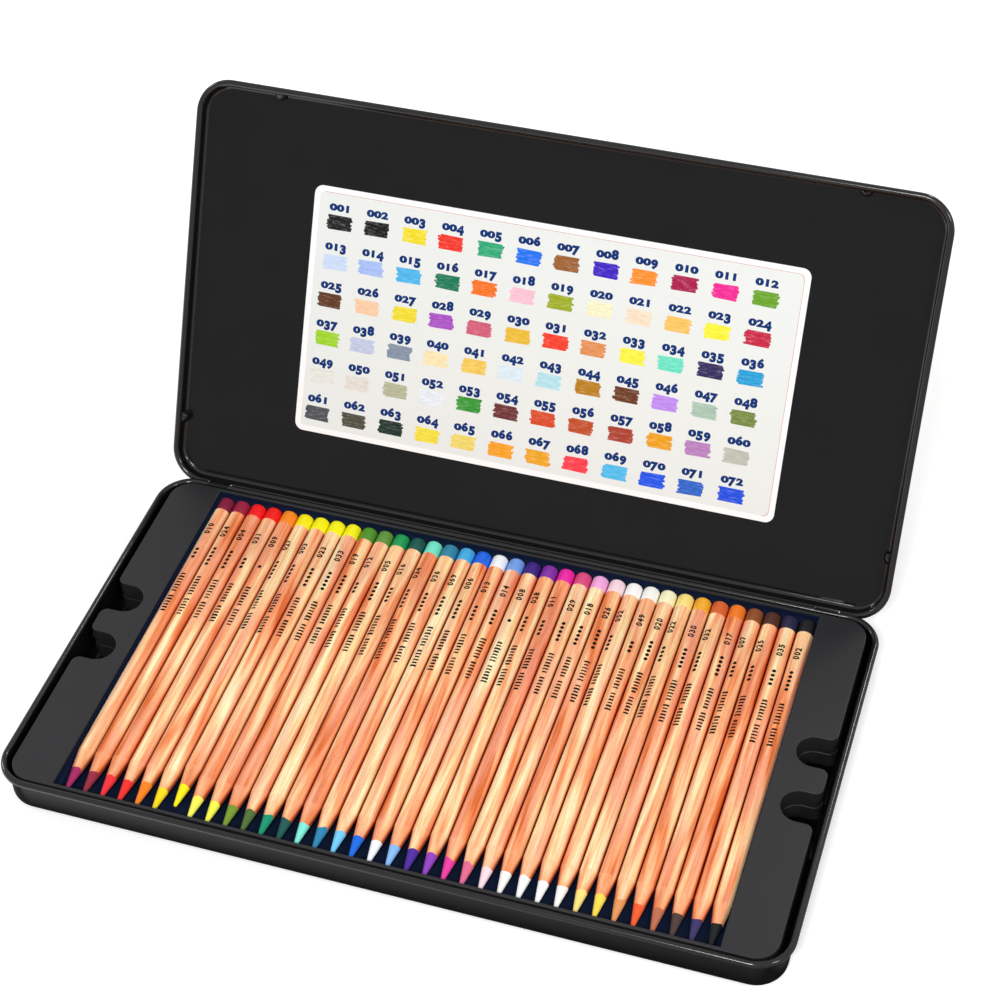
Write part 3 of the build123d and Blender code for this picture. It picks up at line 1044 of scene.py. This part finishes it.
class TIN_OT_colour_card(bpy.types.Operator):
    """Makes the colour card with its border, its numbers and its rubbed patches"""

    bl_idname = "tin.colour_card"
    bl_label = "Colour card"

    # How far each row of patches starts to the left of the last, and how far a patch strays by chance
    row_slip = 0.45 * MM
    stray_across = 0.4 * MM
    stray_up = 0.25 * MM
    place_seed = 5
    stroke_seed = 4

    # Where the border's lower end is, and how much less its inner and outer corners are than the card's
    border_end = 8 * MM
    border_tighter = (1.2 * MM, 1.0 * MM)

    # Heights of the print above the paper, and the boldness and relative sizes of the figures
    line_level = 0.004 * MM
    number_level = 0.008 * MM
    boldness = 0.070
    small = 0.74
    widened = 1.06
    round_nought = 1.12

    def execute(self, context):
        card = context.scene.card_sizes
        place = self.lid_place()
        cream = card_paper("card_cream", tuple(card.paper))
        white = card_paper("card_white", tuple(card.edge_white))
        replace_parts(self.lay(self.sheet(card), place, cream, white), "colour_card")
        self.lay(self.border(card), place, plain_ink("border_pink", tuple(card.line_pink), 0.7))
        self.lay(self.numbers(card), place, plain_ink("number_navy", tuple(card.figure_navy), 0.6))
        self.lay(self.patches(card), place)
        return {"FINISHED"}

    def lid_place(self):
        """Takes a flat card, seen from the front, onto the outer face of the card in the open lid."""
        out, up = lid_directions()
        spots = [v.co for v in frame["nodes"]["colour_card"].data.vertices]
        rises, depths = [s.dot(up) for s in spots], [s.dot(out) for s in spots]
        middle_x = (min(s.x for s in spots) + max(s.x for s in spots)) / 2
        origin = Vector((middle_x, 0, 0)) + up * (min(rises) + max(rises)) / 2 + out * max(depths)
        return Matrix.Translation(origin) @ Matrix((Vector((1, 0, 0)), up, out)).transposed().to_4x4()

    def lay(self, mesh, place, *finishes):
        """Puts a flat mesh on the lid."""
        mesh.transform(place)
        for finish in finishes:
            mesh.materials.append(finish)
        piece = new_piece(mesh.name, mesh)
        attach(piece, "lid")
        return piece

    def sheet(self, card):
        """The paper: its back, its thin edge, a white band and the cream middle."""
        sheet = bmesh.new()
        loops = []
        bevel = 0.06 * MM
        least_corner = 1.2 * MM
        cream = card.band + 0.02 * MM
        steps = ((0.0, -card.thickness), (0.0, -bevel), (bevel, 0.0), (card.band, 0.0), (cream, 0.0))
        for inset, level in steps:
            across, upright = card.across - 2 * inset, card.upright - 2 * inset
            outline = rounded_outline(across, upright, max(card.corner - inset, least_corner))
            loops.append([sheet.verts.new((x, y, level)) for x, y in outline])
        for outer, inner in zip(loops, loops[1:]):
            for i in range(len(outer)):
                j = (i + 1) % len(outer)
                sheet.faces.new((outer[i], outer[j], inner[j], inner[i])).material_index = 1
        sheet.faces.new(loops[-1]).material_index = 0
        sheet.faces.new(list(reversed(loops[0]))).material_index = 1
        return meshed(sheet, "printed_card")

    def border(self, card):
        """A pink hairline along the top and right of the card, as far as its print reached."""
        line = bmesh.new()
        across, upright = card.across - 2 * card.band, card.upright - 2 * card.band
        inner_corner, outer_corner = (card.corner - tighter for tighter in self.border_tighter)
        inner = rounded_outline(across - card.line, upright - card.line, inner_corner)
        outer = rounded_outline(across + card.line, upright + card.line, outer_corner)
        left, right = 2 * card.band - card.across / 2, card.across / 2 - self.border_end
        for i in range(len(inner)):
            j = (i + 1) % len(inner)
            middle_x, middle_y = (inner[i][0] + inner[j][0]) / 2, (inner[i][1] + inner[j][1]) / 2
            if middle_x < left or (middle_y < 0 and middle_x < right):
                continue
            corners = (inner[i], outer[i], outer[j], inner[j])
            line.faces.new([line.verts.new((*point, self.line_level)) for point in corners])
        return meshed(line, "card_border")

    def grid(self, card):
        """Card places of the patches in reading order."""
        for number in range(len(CARD_ORDER)):
            row, column = divmod(number, CARD_COLUMNS)
            x = -card.across / 2 + card.first_column + column * card.column_pitch - row * self.row_slip
            y = card.upright / 2 - card.first_row - row * card.row_pitch
            yield number + 1, x, y

    def numbers(self, card):
        """Old-style figures: 0, 1 and 2 are small, 3, 4, 5, 7 and 9 hang low, and 6 and 8 stand tall."""
        shapes = figure_shapes(card.figure_height, self.boldness)
        written = bmesh.new()
        for number, x, y in self.grid(card):
            for spot, figure in enumerate(f"{number:03d}"):
                squeeze = self.small if figure in "012" else 1.0
                widen = self.widened * (self.round_nought if figure == "0" else 1.0)
                drop = (1 - self.small) * card.figure_height if figure in "34579" else 0.0
                left, foot = x + (spot - 1) * card.figure_pitch, y + card.figure_rise - drop
                add_figure(
                    written, shapes[figure],
                    lambda px, py: (left + px * widen, foot + py * squeeze, self.number_level),
                )
        return meshed(written, "card_numbers")

    def patches(self, card):
        """Patches of pencil strokes, each point of which carries its pigment."""
        spots, tints = [], []
        chance = random.Random(self.place_seed)
        across, up = self.stray_across, self.stray_up
        for number, x, y in self.grid(card):
            spots.append((x + chance.uniform(-across, across), y + chance.uniform(-up, up), 0))
            tints.append((*linear(as_code(number)), 1))
        points = bpy.data.meshes.new("patch_places")
        points.from_pydata(spots, [], [])
        pigment = points.attributes.new("pigment", "FLOAT_COLOR", "POINT")
        for item, tint in zip(pigment.data, tints):
            item.color = tint
        mesh = grown(
            new_piece("patch_places", points), patch_recipe(),
            Width=card.patch_width, Height=card.patch_height, Ragged=card.ragged, Strokes=card.strokes,
            Seed=self.stroke_seed, Finish=rubbed_pastel(tuple(card.paper)),
        )
        mesh.name = "rubbed_patches"
        return mesh


class TIN_OT_set_stage(bpy.types.Operator):
    """Sets up the table, the lamps and the camera"""

    bl_idname = "tin.set_stage"
    bl_label = "Table, lamps and camera"

    # Half the table's width and the gap under the tin, and each lamp's place, target, width and watts
    table_reach = 1.6
    table_gap = 0.2 * MM
    lamps = {
        "key_lamp": ((0.1, -1.05, 1.2), (0.0, 0.02, 0.03), 0.3, 12.6),
        "fill_lamp": ((1.1, -0.5, 1.0), (0.0, 0.05, 0.05), 0.3, 6.2),
        "rim_lamp": ((-1.2, 0.25, 0.8), (0.0, 0.0, 0.05), 0.25, 3.0),
        "back_lamp": ((0.42, 0.95, 1.08), (0.1, 0.0, 0.02), 0.2, 3.0),
    }

    def execute(self, context):
        scene = context.scene
        stage = scene.stage_sizes
        scene.view_settings.view_transform = "Standard"
        self.table(stage)
        self.sky(scene, stage)
        for name, lamp in self.lamps.items():
            self.lamp(name, *lamp)
        self.camera(scene, stage)
        return {"FINISHED"}

    def table(self, stage):
        top = bmesh.new()
        reach = self.table_reach
        corners = ((-reach, -reach), (reach, -reach), (reach, reach), (-reach, reach))
        top.faces.new([top.verts.new((x, y, -self.table_gap)) for x, y in corners])
        mesh = meshed(top, "table_top")
        mesh.materials.append(table_white(tuple(stage.table)))
        new_piece("table_top", mesh)

    def sky(self, scene, stage):
        """An even pale light, behind a background that is seen as pure white."""
        scene.world = bpy.data.worlds.new("pale_room")
        scene.world.use_nodes = True
        room = Nodes(scene.world.node_tree)
        background = room.tree.nodes["Background"]
        room.feed(background.inputs["Color"], WHITE)
        room.feed(background.inputs["Strength"], room.ranged(room.background_rays(), stage.sky, 1.0))

    def lamp(self, name, place, target, size, power):
        light = bpy.data.lights.new(name, "AREA")
        light.shape = "DISK"
        light.size = size
        light.energy = power
        holder = new_piece(name, light)
        holder.location = place
        holder.rotation_euler = (Vector(target) - Vector(place)).to_track_quat("-Z", "Y").to_euler()

    def camera(self, scene, stage):
        lens = bpy.data.cameras.new("camera")
        lens.lens = stage.lens
        lens.sensor_width = 36
        lens.clip_start = 0.01
        yaw, pitch, roll = stage.yaw, stage.pitch, stage.roll
        level = math.cos(pitch)
        forward = Vector((math.sin(yaw) * level, math.cos(yaw) * level, -math.sin(pitch)))
        right = Vector((math.cos(yaw), -math.sin(yaw), 0))
        up = right.cross(forward)
        right, up = right * math.cos(roll) + up * math.sin(roll), up * math.cos(roll) - right * math.sin(roll)
        turned = Matrix((right, up, -forward)).transposed().to_4x4()
        holder = new_piece("camera", lens)
        holder.matrix_world = Matrix.Translation(Vector(stage.camera_place)) @ turned
        scene.camera = holder


class TIN_PT_panel(bpy.types.Panel):
    """Lists the steps that build the tin"""

    bl_idname = "TIN_PT_panel"
    bl_label = "Pencil tin"
    bl_space_type = "VIEW_3D"
    bl_region_type = "UI"
    bl_category = "Pencil tin"

    def draw(self, context):
        column = self.layout.column()
        for step in STEPS:
            column.operator(step.bl_idname)
        for group in GROUPS:
            holder = getattr(context.scene, group)
            for label in holder.bl_rna.properties.keys():
                if label not in ("rna_type", "name"):
                    column.prop(holder, label)


STEPS = (
    TIN_OT_set_stage, TIN_OT_dress_tin, TIN_OT_line_trays,
    TIN_OT_upper_pencils, TIN_OT_lower_pencils, TIN_OT_colour_card,
)
GROUPS = {
    "tin_finishes": TinFinishes,
    "pencil_sizes": PencilSizes,
    "print_sizes": PrintSizes,
    "card_sizes": CardSizes,
    "stage_sizes": StageSizes,
}


def register():
    for kind in (*GROUPS.values(), *STEPS, TIN_PT_panel):
        bpy.utils.register_class(kind)
    for name, kind in GROUPS.items():
        setattr(bpy.types.Scene, name, PointerProperty(type=kind))


def unregister():
    for name in GROUPS:
        delattr(bpy.types.Scene, name)
    for kind in (TIN_PT_panel, *reversed(STEPS), *reversed(GROUPS.values())):
        bpy.utils.unregister_class(kind)


def main():
    register()
    for step in STEPS:
        group, call = step.bl_idname.split(".")
        getattr(getattr(bpy.ops, group), call)()
    bpy.context.view_layer.update()


if __name__ == "__main__":
    main()
